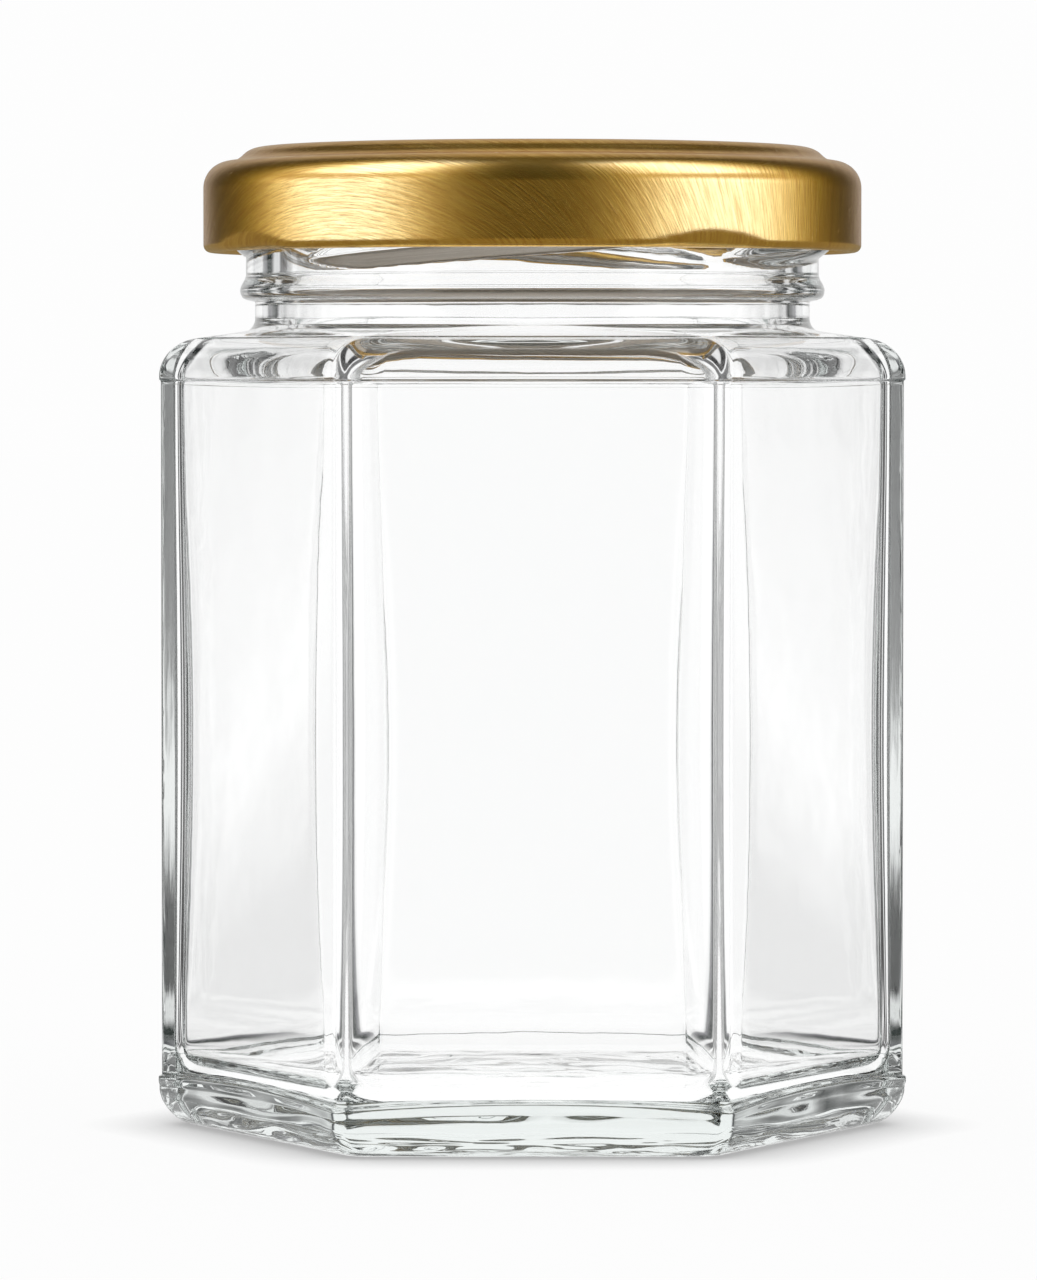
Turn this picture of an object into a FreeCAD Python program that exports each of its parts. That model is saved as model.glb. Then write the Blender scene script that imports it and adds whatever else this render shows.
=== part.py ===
import FreeCAD, Part
import math
import os

# A six-sided jam jar of clear glass with a gold lacquered twist-off lid.
# Millimetres, +Z up, origin in the middle of the foot. One flat side faces -Y,
# so two of the six corners lie on the X axis.

# Body, outside: widths across flats, heights above the table
SIDES = 6
PANEL_FLATS = 65.6             # across two opposite label panels
HEEL_FLATS = 66.2              # the band under the panels stands 0.3 proud
SHOULDER_FLATS = 65.9          # the band over the panels stands 0.15 proud
CORNER_RADIUS = 1.6            # upright edges between the panels
PANEL_LOW = 4.9                # lower edge of a panel, at its ends
PANEL_ARCH = 0.8               # how far that edge bows up in the middle
PANEL_HIGH = 75.5
HEEL_HEIGHT = 4.0              # rounding from the wall down to the foot
HEEL_INSET = 3.3
FOOT_CORNER_RADIUS = 3.0
PUSH_UP_RADIUS = 25.0          # hollow under the foot
PUSH_UP_DEPTH = 1.8

# Shoulder, outside: from the top of the wall to the root of the neck
SHOULDER_START = 75.9
SHOULDER_HEIGHT = 3.9
SHOULDER_INSET = 3.8
SHOULDER_END_ANGLE = 80.0      # the rounding stops short of level, in degrees
SHOULDER_SLOPE = 0.14          # rise over run of the nearly level top at a corner
ROOT_TOP = 81.8
ROOT_FILLET_AT_CORNER = 1.5    # hollow fillet under the neck, towards a corner
ROOT_FILLET_AT_FACE = 2.0      # and towards the middle of a side

# Finish: neck, transfer bead and rim
NECK_RADIUS = 28.04
BEAD_LOW = 83.5
BEAD_MIDDLE = 84.6
BEAD_HIGH = 86.2
BEAD_RADIUS = 29.55
FINISH_RADIUS = 28.95
RIM_TOP = 98.1
RIM_ROUNDING = 0.9
BORE_RADIUS = 25.4

# Inside of the glass
WALL = 2.3                     # in the middle of a panel
INNER_CORNER_AT_ENDS = 5.0     # corner radius near the floor and the shoulder
INNER_CORNER_AT_MIDDLE = 9.0   # and half way up, where the corners are thickest
FLOOR = 5.0
FLOOR_DOME_RADIUS = 20.0
FLOOR_DOME_HEIGHT = 0.8
FLOOR_ROUNDING = 6.0
INNER_SHOULDER_START = 75.2    # the sides start to bend in here
INNER_SHOULDER_END = 81.4      # and have become the bore here
INNER_SHOULDER_TURN = 72.0     # how far they lean in between, in degrees
INNER_CORNERS_START = 73.4     # the corners start to widen here
INNER_CORNERS_END = 77.7       # and have become round here

# Lid: a 63 mm twist-off cap of tinplate, with its sealing ring
LID_TOP = 99.0
LID_RADIUS = 33.25
LID_SHEET = 0.4
LID_EDGE = 88.4                # lowest point of the curled edge
CURL_RADIUS = 0.75
LID_SHOULDER_TOP = 97.6        # the level ring round the raised middle
LID_SHOULDER_RADIUS = 2.7
STEP_FOOT_RADIUS = 30.2        # the raised middle of the lid starts here
STEP_TOP_RADIUS = 27.5         # and is level from here inwards
SEAL_INNER_RADIUS = 25.2
SEAL_OUTER_RADIUS = 28.5
LUGS = 4
FIRST_LUG_ANGLE = -58.0        # 32 degrees round from the front, towards +X
LUG_SPAN = 17.0                # degrees of turn that one lug takes
LUG_TIP_RADIUS = 29.3
LUG_TIP_HEIGHT = 0.8
LUG_DENT_DEPTH = 0.7           # how far the sheet is pushed in over a lug
LUG_DENT_TOP = 89.9

COS_HALF_SIDE = math.cos(math.pi / SIDES)
CORNER_SHARE = 1.0 / COS_HALF_SIDE - 1.0
ORIGIN = FreeCAD.Vector(0.0, 0.0, 0.0)
UP = FreeCAD.Vector(0.0, 0.0, 1.0)


def polar(radius, angle, height):
    return FreeCAD.Vector(radius * math.cos(angle), radius * math.sin(angle), height)


def turned(shape, degrees):
    copy = shape.copy()
    copy.rotate(ORIGIN, UP, degrees)
    return copy


def hexagon_wire(apothem, corner_radius, height):
    """A hexagon with round corners, as six arcs and six lines."""
    edges = []
    turn = 2.0 * math.pi / SIDES
    reach = (apothem - corner_radius) / COS_HALF_SIDE
    for side in range(SIDES):
        corner = -math.pi / 2.0 + (side + 0.5) * turn
        centre = polar(reach, corner, height)
        next_centre = polar(reach, corner + turn, height)
        arc_start = centre + polar(corner_radius, corner - turn / 2.0, 0.0)
        arc_middle = centre + polar(corner_radius, corner, 0.0)
        arc_end = centre + polar(corner_radius, corner + turn / 2.0, 0.0)
        line_end = next_centre + polar(corner_radius, corner + turn / 2.0, 0.0)
        edges.append(Part.Arc(arc_start, arc_middle, arc_end).toShape())
        edges.append(Part.LineSegment(arc_end, line_end).toShape())
    return Part.Wire(edges)


def circle_wire(radius, height):
    """A circle in twelve arcs, which match the arcs and lines of a hexagon."""
    half_side = math.radians(1.0)
    ends = []
    for side in range(SIDES):
        middle = -math.pi / 2.0 + 2.0 * math.pi * (side + 1.0) / SIDES
        ends += [middle - half_side, middle + half_side]
    edges = []
    before = ends[-1] - 2.0 * math.pi
    for end in ends:
        points = [polar(radius, angle, height) for angle in (before, (before + end) / 2.0, end)]
        edges.append(Part.Arc(*points).toShape())
        before = end
    return Part.Wire(edges)


def loft(sections, ruled=False):
    """A solid through sections of (apothem, corner radius, height), smooth or in
    straight steps. A section whose corners are as wide as itself is a circle."""
    wires = []
    for apothem, corner_radius, height in sections:
        if corner_radius < apothem:
            wires.append(hexagon_wire(apothem, corner_radius, height))
        else:
            wires.append(circle_wire(apothem, height))
    return Part.makeLoft(wires, True, ruled)


def prism(apothem, corner_radius, low, high):
    face = Part.Face(hexagon_wire(apothem, corner_radius, low))
    return face.extrude(UP * (high - low))


def revolve(points, degrees=360.0):
    """A solid turned about the axis from a closed outline of (radius, height)
    points. Two more numbers are a point between, and make the edge an arc."""
    edges = []
    for number, point in enumerate(points):
        before = points[number - 1]
        start = FreeCAD.Vector(before[0], 0.0, before[1])
        end = FreeCAD.Vector(point[0], 0.0, point[1])
        if len(point) == 4:
            between = FreeCAD.Vector(point[2], 0.0, point[3])
            edges.append(Part.Arc(start, between, end).toShape())
        else:
            edges.append(Part.LineSegment(start, end).toShape())
    return Part.Face(Part.Wire(edges)).revolve(ORIGIN, UP, degrees)


def ball_cap(radius, height, base):
    """A shallow dome of this radius and height, standing at height base."""
    ball_radius = (radius ** 2 + height ** 2) / (2.0 * height)
    ball = Part.makeSphere(ball_radius, FreeCAD.Vector(0.0, 0.0, base + height - ball_radius))
    disc = Part.makeCylinder(radius + 1.0, height + 1.0, FreeCAD.Vector(0.0, 0.0, base))
    return ball.common(disc)


def heel():
    """The foot, its rounding, and the plain band under the panels."""
    apothem = HEEL_FLATS / 2.0
    sections = []
    steps = 8
    for step in range(steps + 1):
        angle = math.pi / 2.0 * step / steps
        inward = 1.0 - math.sin(angle)
        corner = CORNER_RADIUS + (FOOT_CORNER_RADIUS - CORNER_RADIUS) * inward
        height = HEEL_HEIGHT * (1.0 - math.cos(angle))
        sections.append((apothem - HEEL_INSET * inward, corner, height))
    return loft(sections).fuse(prism(apothem, CORNER_RADIUS, HEEL_HEIGHT, PANEL_LOW))


def panel_arches():
    """The band's upper edge bows up a little in the middle of each side."""
    inner = PANEL_FLATS / 2.0 - 1.0
    outer = HEEL_FLATS / 2.0
    half_width = (outer - CORNER_RADIUS) * math.tan(math.pi / SIDES)
    start = FreeCAD.Vector(-half_width, -inner, PANEL_LOW)
    crown = FreeCAD.Vector(0.0, -inner, PANEL_LOW + PANEL_ARCH)
    end = FreeCAD.Vector(half_width, -inner, PANEL_LOW)
    bow = Part.Arc(start, crown, end).toShape()
    arch_face = Part.Face(Part.Wire([bow, Part.LineSegment(end, start).toShape()]))
    arch = arch_face.extrude(FreeCAD.Vector(0.0, inner - outer, 0.0))
    return [turned(arch, 360.0 * side / SIDES) for side in range(SIDES)]


def root_distance(height, neck_radius, root_top, fillet):
    """Distance from the axis to a hollow fillet that runs up into the neck."""
    below = min(root_top - height, fillet)
    return neck_radius + fillet - math.sqrt(fillet ** 2 - below ** 2)


def shoulder(apothem, corner_radius, start, rise, inset, neck_radius, root_top,
             fillet_at_corner, fillet_at_face):
    """From a six-sided wall over a round shoulder to a round neck. The corners run
    on over the shoulder and fade out on its top, where the root fillet of the
    neck is wider towards the sides than towards the corners."""
    rounding = []
    steps = 8
    for step in range(steps + 1):
        angle = math.radians(SHOULDER_END_ANGLE) * step / steps
        inward = inset * (1.0 - math.cos(angle))
        rounding.append((apothem - inward, corner_radius, start + rise * math.sin(angle)))
    top_apothem, top_corner, top = rounding[-1]
    top_reach = top_apothem / COS_HALF_SIDE - CORNER_SHARE * top_corner
    root = [rounding[-1]]
    root_steps = 7
    for step in range(1, root_steps):
        height = top + (root_top - top) * (step / root_steps) ** 1.6
        at_face = root_distance(height, neck_radius, root_top, fillet_at_face)
        on_slope = top_reach - (height - top) / SHOULDER_SLOPE
        at_corner = max(on_slope, root_distance(height, neck_radius, root_top, fillet_at_corner))
        root.append((at_face, (at_face / COS_HALF_SIDE - at_corner) / CORNER_SHARE, height))
    root.append((neck_radius, neck_radius, root_top))
    return loft(rounding).fuse(loft(root, ruled=True))


def finish():
    """Neck, transfer bead and the rim that the lid seals on."""
    inside = BORE_RADIUS - 1.0
    cut = RIM_ROUNDING * (1.0 - math.sqrt(0.5))
    return revolve([
        (inside, RIM_TOP),
        (inside, ROOT_TOP),
        (NECK_RADIUS, ROOT_TOP),
        (NECK_RADIUS, BEAD_LOW),
        (BEAD_RADIUS - 0.7, BEAD_LOW + 0.1),
        (FINISH_RADIUS, BEAD_HIGH, BEAD_RADIUS, BEAD_MIDDLE),
        (FINISH_RADIUS, RIM_TOP - RIM_ROUNDING),
        (FINISH_RADIUS - RIM_ROUNDING, RIM_TOP, FINISH_RADIUS - cut, RIM_TOP - cut),
    ])


def inner_corner(height):
    """The inner corners are widest half way up the wall."""
    middle = (FLOOR + INNER_CORNERS_START) / 2.0
    away = (height - middle) / (INNER_CORNERS_START - middle)
    return INNER_CORNER_AT_MIDDLE + (INNER_CORNER_AT_ENDS - INNER_CORNER_AT_MIDDLE) * away ** 2


def inner_distance(height):
    """Distance from the axis to the inside in the middle of a side: the wall
    bends in, runs straight for a little and bends back up into the bore."""
    apothem = PANEL_FLATS / 2.0 - WALL
    inset = apothem - BORE_RADIUS
    rise = INNER_SHOULDER_END - INNER_SHOULDER_START
    up = min(max(height - INNER_SHOULDER_START, 0.0), rise)
    sine = math.sin(math.radians(INNER_SHOULDER_TURN))
    cosine = math.cos(math.radians(INNER_SHOULDER_TURN))
    straight = (inset * sine - rise * (1.0 - cosine)) / (1.0 - cosine)
    radius = (rise - straight * cosine) / sine / 2.0
    if up < radius * sine:
        return apothem - radius + math.sqrt(radius ** 2 - up ** 2)
    if up > rise - radius * sine:
        return BORE_RADIUS + radius - math.sqrt(radius ** 2 - (rise - up) ** 2)
    return apothem - radius * (1.0 - cosine) - (up - radius * sine) * sine / cosine


def inner_shoulder():
    """Under the shoulder the corners widen until the inside is round."""
    sections = []
    steps = 9
    for step in range(steps):
        angle = math.pi / 2.0 * step / steps
        height = INNER_CORNERS_START + (INNER_CORNERS_END - INNER_CORNERS_START) * math.sin(angle)
        apothem = inner_distance(height)
        widened = (apothem - INNER_CORNER_AT_ENDS) * (1.0 - math.cos(angle))
        sections.append((apothem, INNER_CORNER_AT_ENDS + widened, height))
    round_from = inner_distance(INNER_CORNERS_END)
    last_step = [sections[-1], (round_from, round_from, INNER_CORNERS_END)]
    return loft(sections).fuse(loft(last_step, ruled=True))


def mouth():
    """The round way out, from the shoulder up through the bore."""
    outline = [(0.0, INNER_CORNERS_END), (inner_distance(INNER_CORNERS_END), INNER_CORNERS_END)]
    steps = 5
    for step in range(1, steps + 1):
        before = outline[-1][1]
        height = INNER_CORNERS_END + (INNER_SHOULDER_END - INNER_CORNERS_END) * step / steps
        between = (before + height) / 2.0
        outline.append((inner_distance(height), height, inner_distance(between), between))
    lip = RIM_ROUNDING * (1.0 - math.sqrt(0.5))
    outline += [
        (BORE_RADIUS, RIM_TOP - RIM_ROUNDING),
        (BORE_RADIUS + RIM_ROUNDING, RIM_TOP, BORE_RADIUS + lip, RIM_TOP - lip),
        (0.0, RIM_TOP),
    ]
    return revolve(outline)


def cavity():
    """The room for the jam, with its thick floor, bowed corners and round mouth.
    The corners fade out on the way down to the floor too."""
    apothem = PANEL_FLATS / 2.0 - WALL
    level = apothem - FLOOR_ROUNDING
    floor_sections = [(level, level, FLOOR)]
    steps = 8
    for step in range(1, steps + 1):
        share = step / steps
        angle = math.pi / 2.0 * share
        height = FLOOR + FLOOR_ROUNDING * (1.0 - math.cos(angle))
        corner = inner_corner(height)
        faded = (1.0 - share) ** 2 * (1.0 + 2.0 * share)
        inward = FLOOR_ROUNDING * (1.0 - math.sin(angle))
        floor_sections.append((apothem - inward, corner + (level - corner) * faded, height))
    wall_sections = [floor_sections[-1]]
    wall_steps = 6
    wall_low = FLOOR + FLOOR_ROUNDING
    for step in range(1, wall_steps + 1):
        height = wall_low + (INNER_CORNERS_START - wall_low) * step / wall_steps
        wall_sections.append((apothem, inner_corner(height), height))
    first_step = floor_sections[:2]
    room = loft(first_step, ruled=True).fuse([
        loft(floor_sections[1:]), loft(wall_sections), inner_shoulder(), mouth()])
    return room.cut(ball_cap(FLOOR_DOME_RADIUS, FLOOR_DOME_HEIGHT, FLOOR))


def jar():
    """The glass: heel, wall, shoulder and finish, hollowed by the cavity."""
    wall = prism(PANEL_FLATS / 2.0, CORNER_RADIUS, PANEL_LOW, PANEL_HIGH)
    top = shoulder(
        SHOULDER_FLATS / 2.0, CORNER_RADIUS, SHOULDER_START, SHOULDER_HEIGHT, SHOULDER_INSET,
        NECK_RADIUS, ROOT_TOP, ROOT_FILLET_AT_CORNER, ROOT_FILLET_AT_FACE)
    band = prism(SHOULDER_FLATS / 2.0, CORNER_RADIUS, PANEL_HIGH, SHOULDER_START)
    outside = heel().fuse([wall, band, top, finish()] + panel_arches())
    push_up = ball_cap(PUSH_UP_RADIUS, PUSH_UP_DEPTH, 0.0)
    return outside.cut(push_up).cut(cavity())


def lid_shell():
    """The pressed sheet: raised middle, level ring, skirt and curled edge, with
    the sealing ring that the rim of the glass beds into."""
    skirt = LID_RADIUS - LID_SHEET
    bend = LID_RADIUS - LID_SHOULDER_RADIUS
    bend_height = LID_SHOULDER_TOP - LID_SHOULDER_RADIUS
    outer_bend = LID_SHOULDER_RADIUS * math.sqrt(0.5)
    inner_bend = (LID_SHOULDER_RADIUS - LID_SHEET) * math.sqrt(0.5)
    curl_middle = LID_RADIUS - CURL_RADIUS
    curl_height = LID_EDGE + CURL_RADIUS
    inner_step = STEP_TOP_RADIUS - 0.3
    return revolve([
        (0.0, LID_TOP),
        (STEP_TOP_RADIUS, LID_TOP),
        (STEP_FOOT_RADIUS - 0.8, LID_TOP - 0.65, STEP_TOP_RADIUS + 1.1, LID_TOP - 0.18),
        (STEP_FOOT_RADIUS - 0.2, LID_SHOULDER_TOP + 0.25),
        (bend, LID_SHOULDER_TOP, STEP_FOOT_RADIUS + 0.05, LID_SHOULDER_TOP + 0.06),
        (LID_RADIUS, bend_height, bend + outer_bend, bend_height + outer_bend),
        (LID_RADIUS, curl_height),
        (curl_middle - CURL_RADIUS, curl_height, curl_middle, LID_EDGE),
        (skirt, curl_height + CURL_RADIUS, curl_middle - 0.45, curl_height + 0.6),
        (skirt, bend_height),
        (bend, LID_SHOULDER_TOP - LID_SHEET, bend + inner_bend, bend_height + inner_bend),
        (STEP_FOOT_RADIUS - 0.5, LID_SHOULDER_TOP - LID_SHEET + 0.1),
        (STEP_FOOT_RADIUS - 1.1, LID_TOP - 1.05),
        (SEAL_OUTER_RADIUS, RIM_TOP),
        (SEAL_INNER_RADIUS, RIM_TOP),
        (SEAL_INNER_RADIUS, LID_TOP - LID_SHEET),
        (0.0, LID_TOP - LID_SHEET),
    ])


def lug():
    """One lug: the curled edge squeezed flat and pushed in under a thread."""
    root = LID_RADIUS - LID_SHEET / 2.0
    tip_low = LID_EDGE + 0.6
    tip_high = tip_low + LUG_TIP_HEIGHT
    tab = revolve([
        (root, LID_EDGE + 0.2),
        (root, LUG_DENT_TOP + 0.6),
        (LID_RADIUS - 1.4, tip_high + 0.3),
        (LUG_TIP_RADIUS + 0.3, tip_high),
        (LUG_TIP_RADIUS + 0.3, tip_low, LUG_TIP_RADIUS, tip_low + LUG_TIP_HEIGHT / 2.0),
        (LID_RADIUS - 1.2, LID_EDGE + 0.2),
    ], LUG_SPAN)
    return turned(tab, -LUG_SPAN / 2.0)


def lug_dent():
    """What the press takes off the outside of the skirt over a lug: a tilted
    flat, which meets the round skirt in an arch."""
    drop = LUG_DENT_TOP - LID_EDGE
    tilt = math.degrees(math.atan2(LUG_DENT_DEPTH, drop))
    width = LID_RADIUS
    block = Part.makeBox(5.0, width, 3.0 * drop, FreeCAD.Vector(0.0, -width / 2.0, -2.0 * drop))
    block.rotate(ORIGIN, FreeCAD.Vector(0.0, 1.0, 0.0), tilt)
    block.translate(FreeCAD.Vector(LID_RADIUS, 0.0, LUG_DENT_TOP))
    return block


def lid():
    angles = [FIRST_LUG_ANGLE + 360.0 * number / LUGS for number in range(LUGS)]
    pressed = lid_shell().fuse([turned(lug(), angle) for angle in angles])
    for angle in angles:
        pressed = pressed.cut(turned(lug_dent(), angle))
    return pressed


def main():
    os.makedirs("parts", exist_ok=True)
    for name, shape in (("jar", jar()), ("lid", lid())):
        solid = shape.removeSplitter().Solids[0]
        box = solid.optimalBoundingBox()
        print(name, "valid", solid.isValid(), "solids", len(shape.Solids), "cm3", round(solid.Volume / 1000.0, 2))
        print("  box", [round(value, 2) for value in (box.XMin, box.YMin, box.ZMin, box.XMax, box.YMax, box.ZMax)])
        solid.exportStep("parts/" + name + ".step")


main()
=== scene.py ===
import math

import bpy
import numpy as np
from bpy.props import FloatProperty, FloatVectorProperty, PointerProperty
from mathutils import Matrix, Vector, noise


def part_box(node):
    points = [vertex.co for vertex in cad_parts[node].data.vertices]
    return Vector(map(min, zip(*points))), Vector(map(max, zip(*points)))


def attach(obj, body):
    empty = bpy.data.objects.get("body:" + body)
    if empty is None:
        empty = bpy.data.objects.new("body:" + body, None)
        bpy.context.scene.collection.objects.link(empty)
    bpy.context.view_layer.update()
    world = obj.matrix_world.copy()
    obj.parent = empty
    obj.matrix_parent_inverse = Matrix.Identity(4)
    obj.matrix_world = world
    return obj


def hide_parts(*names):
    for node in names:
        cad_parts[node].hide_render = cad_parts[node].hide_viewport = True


bl_info = {
    "name": "Hexagonal jam jar",
    "version": (1, 0, 0),
    "blender": (4, 5, 0),
    "location": "View3D > Sidebar > Jam jar",
    "description": "Clear glass jar with a gold twist-off lid, dressed round its packed solids",
    "category": "Object",
}

MM = 0.001
SIDES = 6
HALF_SIDE = math.pi / SIDES

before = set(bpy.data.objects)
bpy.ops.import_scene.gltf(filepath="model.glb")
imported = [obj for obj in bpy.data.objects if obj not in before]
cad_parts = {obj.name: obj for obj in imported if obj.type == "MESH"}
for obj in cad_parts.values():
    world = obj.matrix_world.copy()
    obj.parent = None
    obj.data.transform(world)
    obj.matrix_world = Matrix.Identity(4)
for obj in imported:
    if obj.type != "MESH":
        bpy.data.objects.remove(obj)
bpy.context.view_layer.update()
jar_low, jar_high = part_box("jar")
lid_low, lid_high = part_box("lid")


def srgb(code):
    """Linear colour of an sRGB hex code such as "d9b45a"."""
    parts = [int(code[i:i + 2], 16) / 255.0 for i in (0, 2, 4)]
    return tuple(p / 12.92 if p <= 0.04045 else ((p + 0.055) / 1.055) ** 2.4 for p in parts)


def length(name, default, description):
    """A size in metres that a user may change."""
    return FloatProperty(name=name, default=default, description=description,
                         unit="LENGTH", subtype="DISTANCE", precision=5)


def colour(name, code, description):
    """A colour that a user may change, from its sRGB hex code."""
    return FloatVectorProperty(name=name, default=srgb(code), description=description,
                               subtype="COLOR", size=3, min=0.0, max=1.0)


# ---------------------------------------------------------------- settings

class JamJarGlass(bpy.types.PropertyGroup):
    """Sizes of the glass body, outside and inside."""
    heel_flats: length("Heel width", jar_high[1] - jar_low[1],
                       "Across two flat sides, at the band over the foot")
    panel_depth: length("Panel depth", 0.3 * MM,
                        "How far the label panels lie behind the band over the foot")
    corner: length("Corner radius", 1.6 * MM, "Rounding of the upright edges")
    panel_low: length("Panel low edge", 4.9 * MM, "Height of the panels' lower edge at its ends")
    panel_arch: length("Panel arch", 0.8 * MM, "How far that edge bows up in the middle")
    panel_high: length("Panel high edge", 75.5 * MM, "Height of the panels' upper edge")
    shoulder_start: length("Shoulder start", 75.9 * MM, "Where the wall starts to turn in")
    neck_radius: length("Neck radius", 28.04 * MM, "The narrowest part of the neck, outside")
    finish_radius: length("Finish radius", 28.95 * MM, "The wall that carries the threads, outside")
    bead_radius: length("Bead radius", 29.55 * MM, "The bead that the moulds hold the neck by")
    bore_radius: length("Bore radius", 25.4 * MM, "The mouth, inside")
    rim_top: length("Rim height", jar_high[2], "Top of the glass")
    wall: length("Wall", 2.3 * MM, "Glass in the middle of a panel")
    floor: length("Floor height", 5.0 * MM, "Inside floor near the walls")
    thread_height: length("Thread height", 1.3 * MM, "How far the threads stand out")


class JamJarLid(bpy.types.PropertyGroup):
    """Sizes of the lid."""
    radius: length("Skirt radius", (lid_high[0] - lid_low[0]) / 2.0, "Outside of the skirt")
    top: length("Top height", lid_high[2], "Level middle of the lid")
    edge: length("Edge height", lid_low[2], "Lowest point of the curled edge")
    sheet: length("Sheet thickness", 0.24 * MM, "Lacquered tinplate")
    hairline: length("Hairline spacing", 0.22 * MM,
                     "Distance between the fine lines of the rolled sheet")


class JamJarFinishes(bpy.types.PropertyGroup):
    """Colours of the materials."""
    glass_tint: colour("Glass tint", "e2e8e6", "Hue that thick glass takes on along its edges")
    gold: colour("Gold lacquer", "eec56c", "Lacquered tinplate at its middle tone")
    gold_deep: colour("Gold lacquer, deep", "d09a44", "The same where the lacquer lies thicker")
    inside: colour("Inside lacquer", "f3e5d2", "Pale food lacquer on the inside of the lid")
    seal: colour("Sealing ring", "e9e4d8", "Cream plastisol of the sealing ring")
    floor: colour("Floor", "fdfdfd", "White table top")


class JamJarStage(bpy.types.PropertyGroup):
    """Where the camera stands."""
    distance: length("Camera distance", 0.70, "From the jar's axis")
    height: length("Camera height", 75.8 * MM, "Above the table")
    aim_height: length("Aim height", 49.2 * MM, "Height on the axis that the camera looks at")
    side: length("Camera offset", -1.4 * MM, "To the side of the axis")
    lens: FloatProperty(name="Lens", default=194.3, description="Focal length in millimetres",
                        subtype="DISTANCE_CAMERA")


# ---------------------------------------------------------------- shapes

def column_angles():
    """Angles round the axis, measured from -Y. They are close together at the
    six corners, where the section turns most."""
    # degrees off a corner, from and to, and the columns in between
    spans = ((0.0, 1.3, 6), (1.3, 4.6, 5), (4.6, 30.0, 10))
    half = [low + (high - low) * i / count for low, high, count in spans for i in range(count)]
    before, after = [30.0 - a for a in reversed(half[1:])], [30.0 + a for a in half[1:]]
    side = before + [30.0] + after + [60.0]
    return np.radians([60.0 * number + a for number in range(SIDES) for a in side])


COLUMNS = column_angles()
# angle from the middle of the nearest side
FROM_FACE = (COLUMNS + HALF_SIDE) % (2.0 * HALF_SIDE) - HALF_SIDE

# unevenness of the glass: depth of the waves, and their length
RIPPLE = 0.20 * MM
RIPPLE_LENGTH = 4.5 * MM
HEEL_RIPPLE = 0.18 * MM
HEEL_RIPPLE_LENGTH = 7.0 * MM
HEEL_RIPPLE_HEIGHT = 1.7 * MM

# outside of the glass
PUSH_UP_RADIUS = 25.0 * MM
PUSH_UP_DEPTH = 1.8 * MM
FOOT_EDGE = 0.5 * MM            # from the push-up to the level foot
HEEL_INSET = 3.3 * MM
HEEL_HEIGHT = 4.0 * MM
NECK_ROOT = 81.8 * MM           # top of the fillet between shoulder and neck
BEAD_LOW = 83.4 * MM
BEAD_MIDDLE = 84.6 * MM
BEAD_HIGH = 86.2 * MM
BEAD_EDGE = 0.55 * MM           # rounding of the bead's lower edge
RIM_ROUNDING = 0.9 * MM

# threads
THREADS = 4
THREAD_START = math.radians(41.5)
THREAD_SPAN = math.radians(98.0)
THREAD_RISE = 3.7 * MM
THREAD_LOW = 87.45 * MM         # middle of a thread where it starts
THREAD_HALF_WIDTH = 1.4 * MM

# inside of the glass
INNER_HEEL = 3.4 * MM           # bend between the wall and the floor
FLOOR_DOME = 0.8 * MM
INNER_TURN = 75.2 * MM          # the sides start to bend in
INNER_LEAN = math.radians(72.0)
INNER_SHOULDER = 75.8 * MM      # the corners start to widen
INNER_ROUND = 80.4 * MM         # and have become round
BORE_LOW = 81.4 * MM
NARROW_CORNER = 5.0 * MM
WIDE_CORNER = 7.8 * MM
WIDEST = 40.4 * MM              # height at which the inner corners are widest

# lid
STEP_DROP = 1.4 * MM            # from the middle of the lid down to its ring
ROLLING = math.radians(-36.0)   # direction of the sheet's grain
LUGS = 4
FIRST_LUG = math.radians(32.0)


def hexagon(apothem, corner):
    """Distance from the axis to a hexagon with round corners, for each column.
    A corner radius as wide as the hexagon itself gives a circle."""
    away = np.abs(FROM_FACE)
    straight = apothem / np.cos(away)
    reach = (apothem - corner) / math.cos(HALF_SIDE)
    off = HALF_SIDE - away
    chord = np.maximum(corner ** 2 - (reach * np.sin(off)) ** 2, 0.0)
    rounded = reach * np.cos(off) + np.sqrt(chord)
    on_flat = np.tan(away) * apothem <= (apothem - corner) * math.tan(HALF_SIDE)
    return np.where(on_flat, straight, rounded)


def smooth(low, high, value):
    t = np.clip((value - low) / (high - low), 0.0, 1.0)
    return t * t * (3.0 - 2.0 * t)


def steps(count, first=0):
    return [i / count for i in range(first, count + 1)]


def eased(count):
    """Shares of a long run that lie close together at both ends, where it meets a bend."""
    return [(1.0 - math.cos(math.pi * t)) / 2.0 for t in steps(count, 1)]


def circle(radius, height):
    """A row of points: distances from the axis, and heights."""
    return np.full_like(COLUMNS, radius), np.full_like(COLUMNS, height)


def section(apothem, corner, height):
    return hexagon(apothem, corner), np.full_like(COLUMNS, height)


def root_distance(height, neck, top, fillet):
    """Distance from the axis in the hollow fillet between shoulder and neck."""
    below = min(top - height, fillet)
    return neck + fillet - math.sqrt(max(fillet ** 2 - below ** 2, 0.0))


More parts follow.
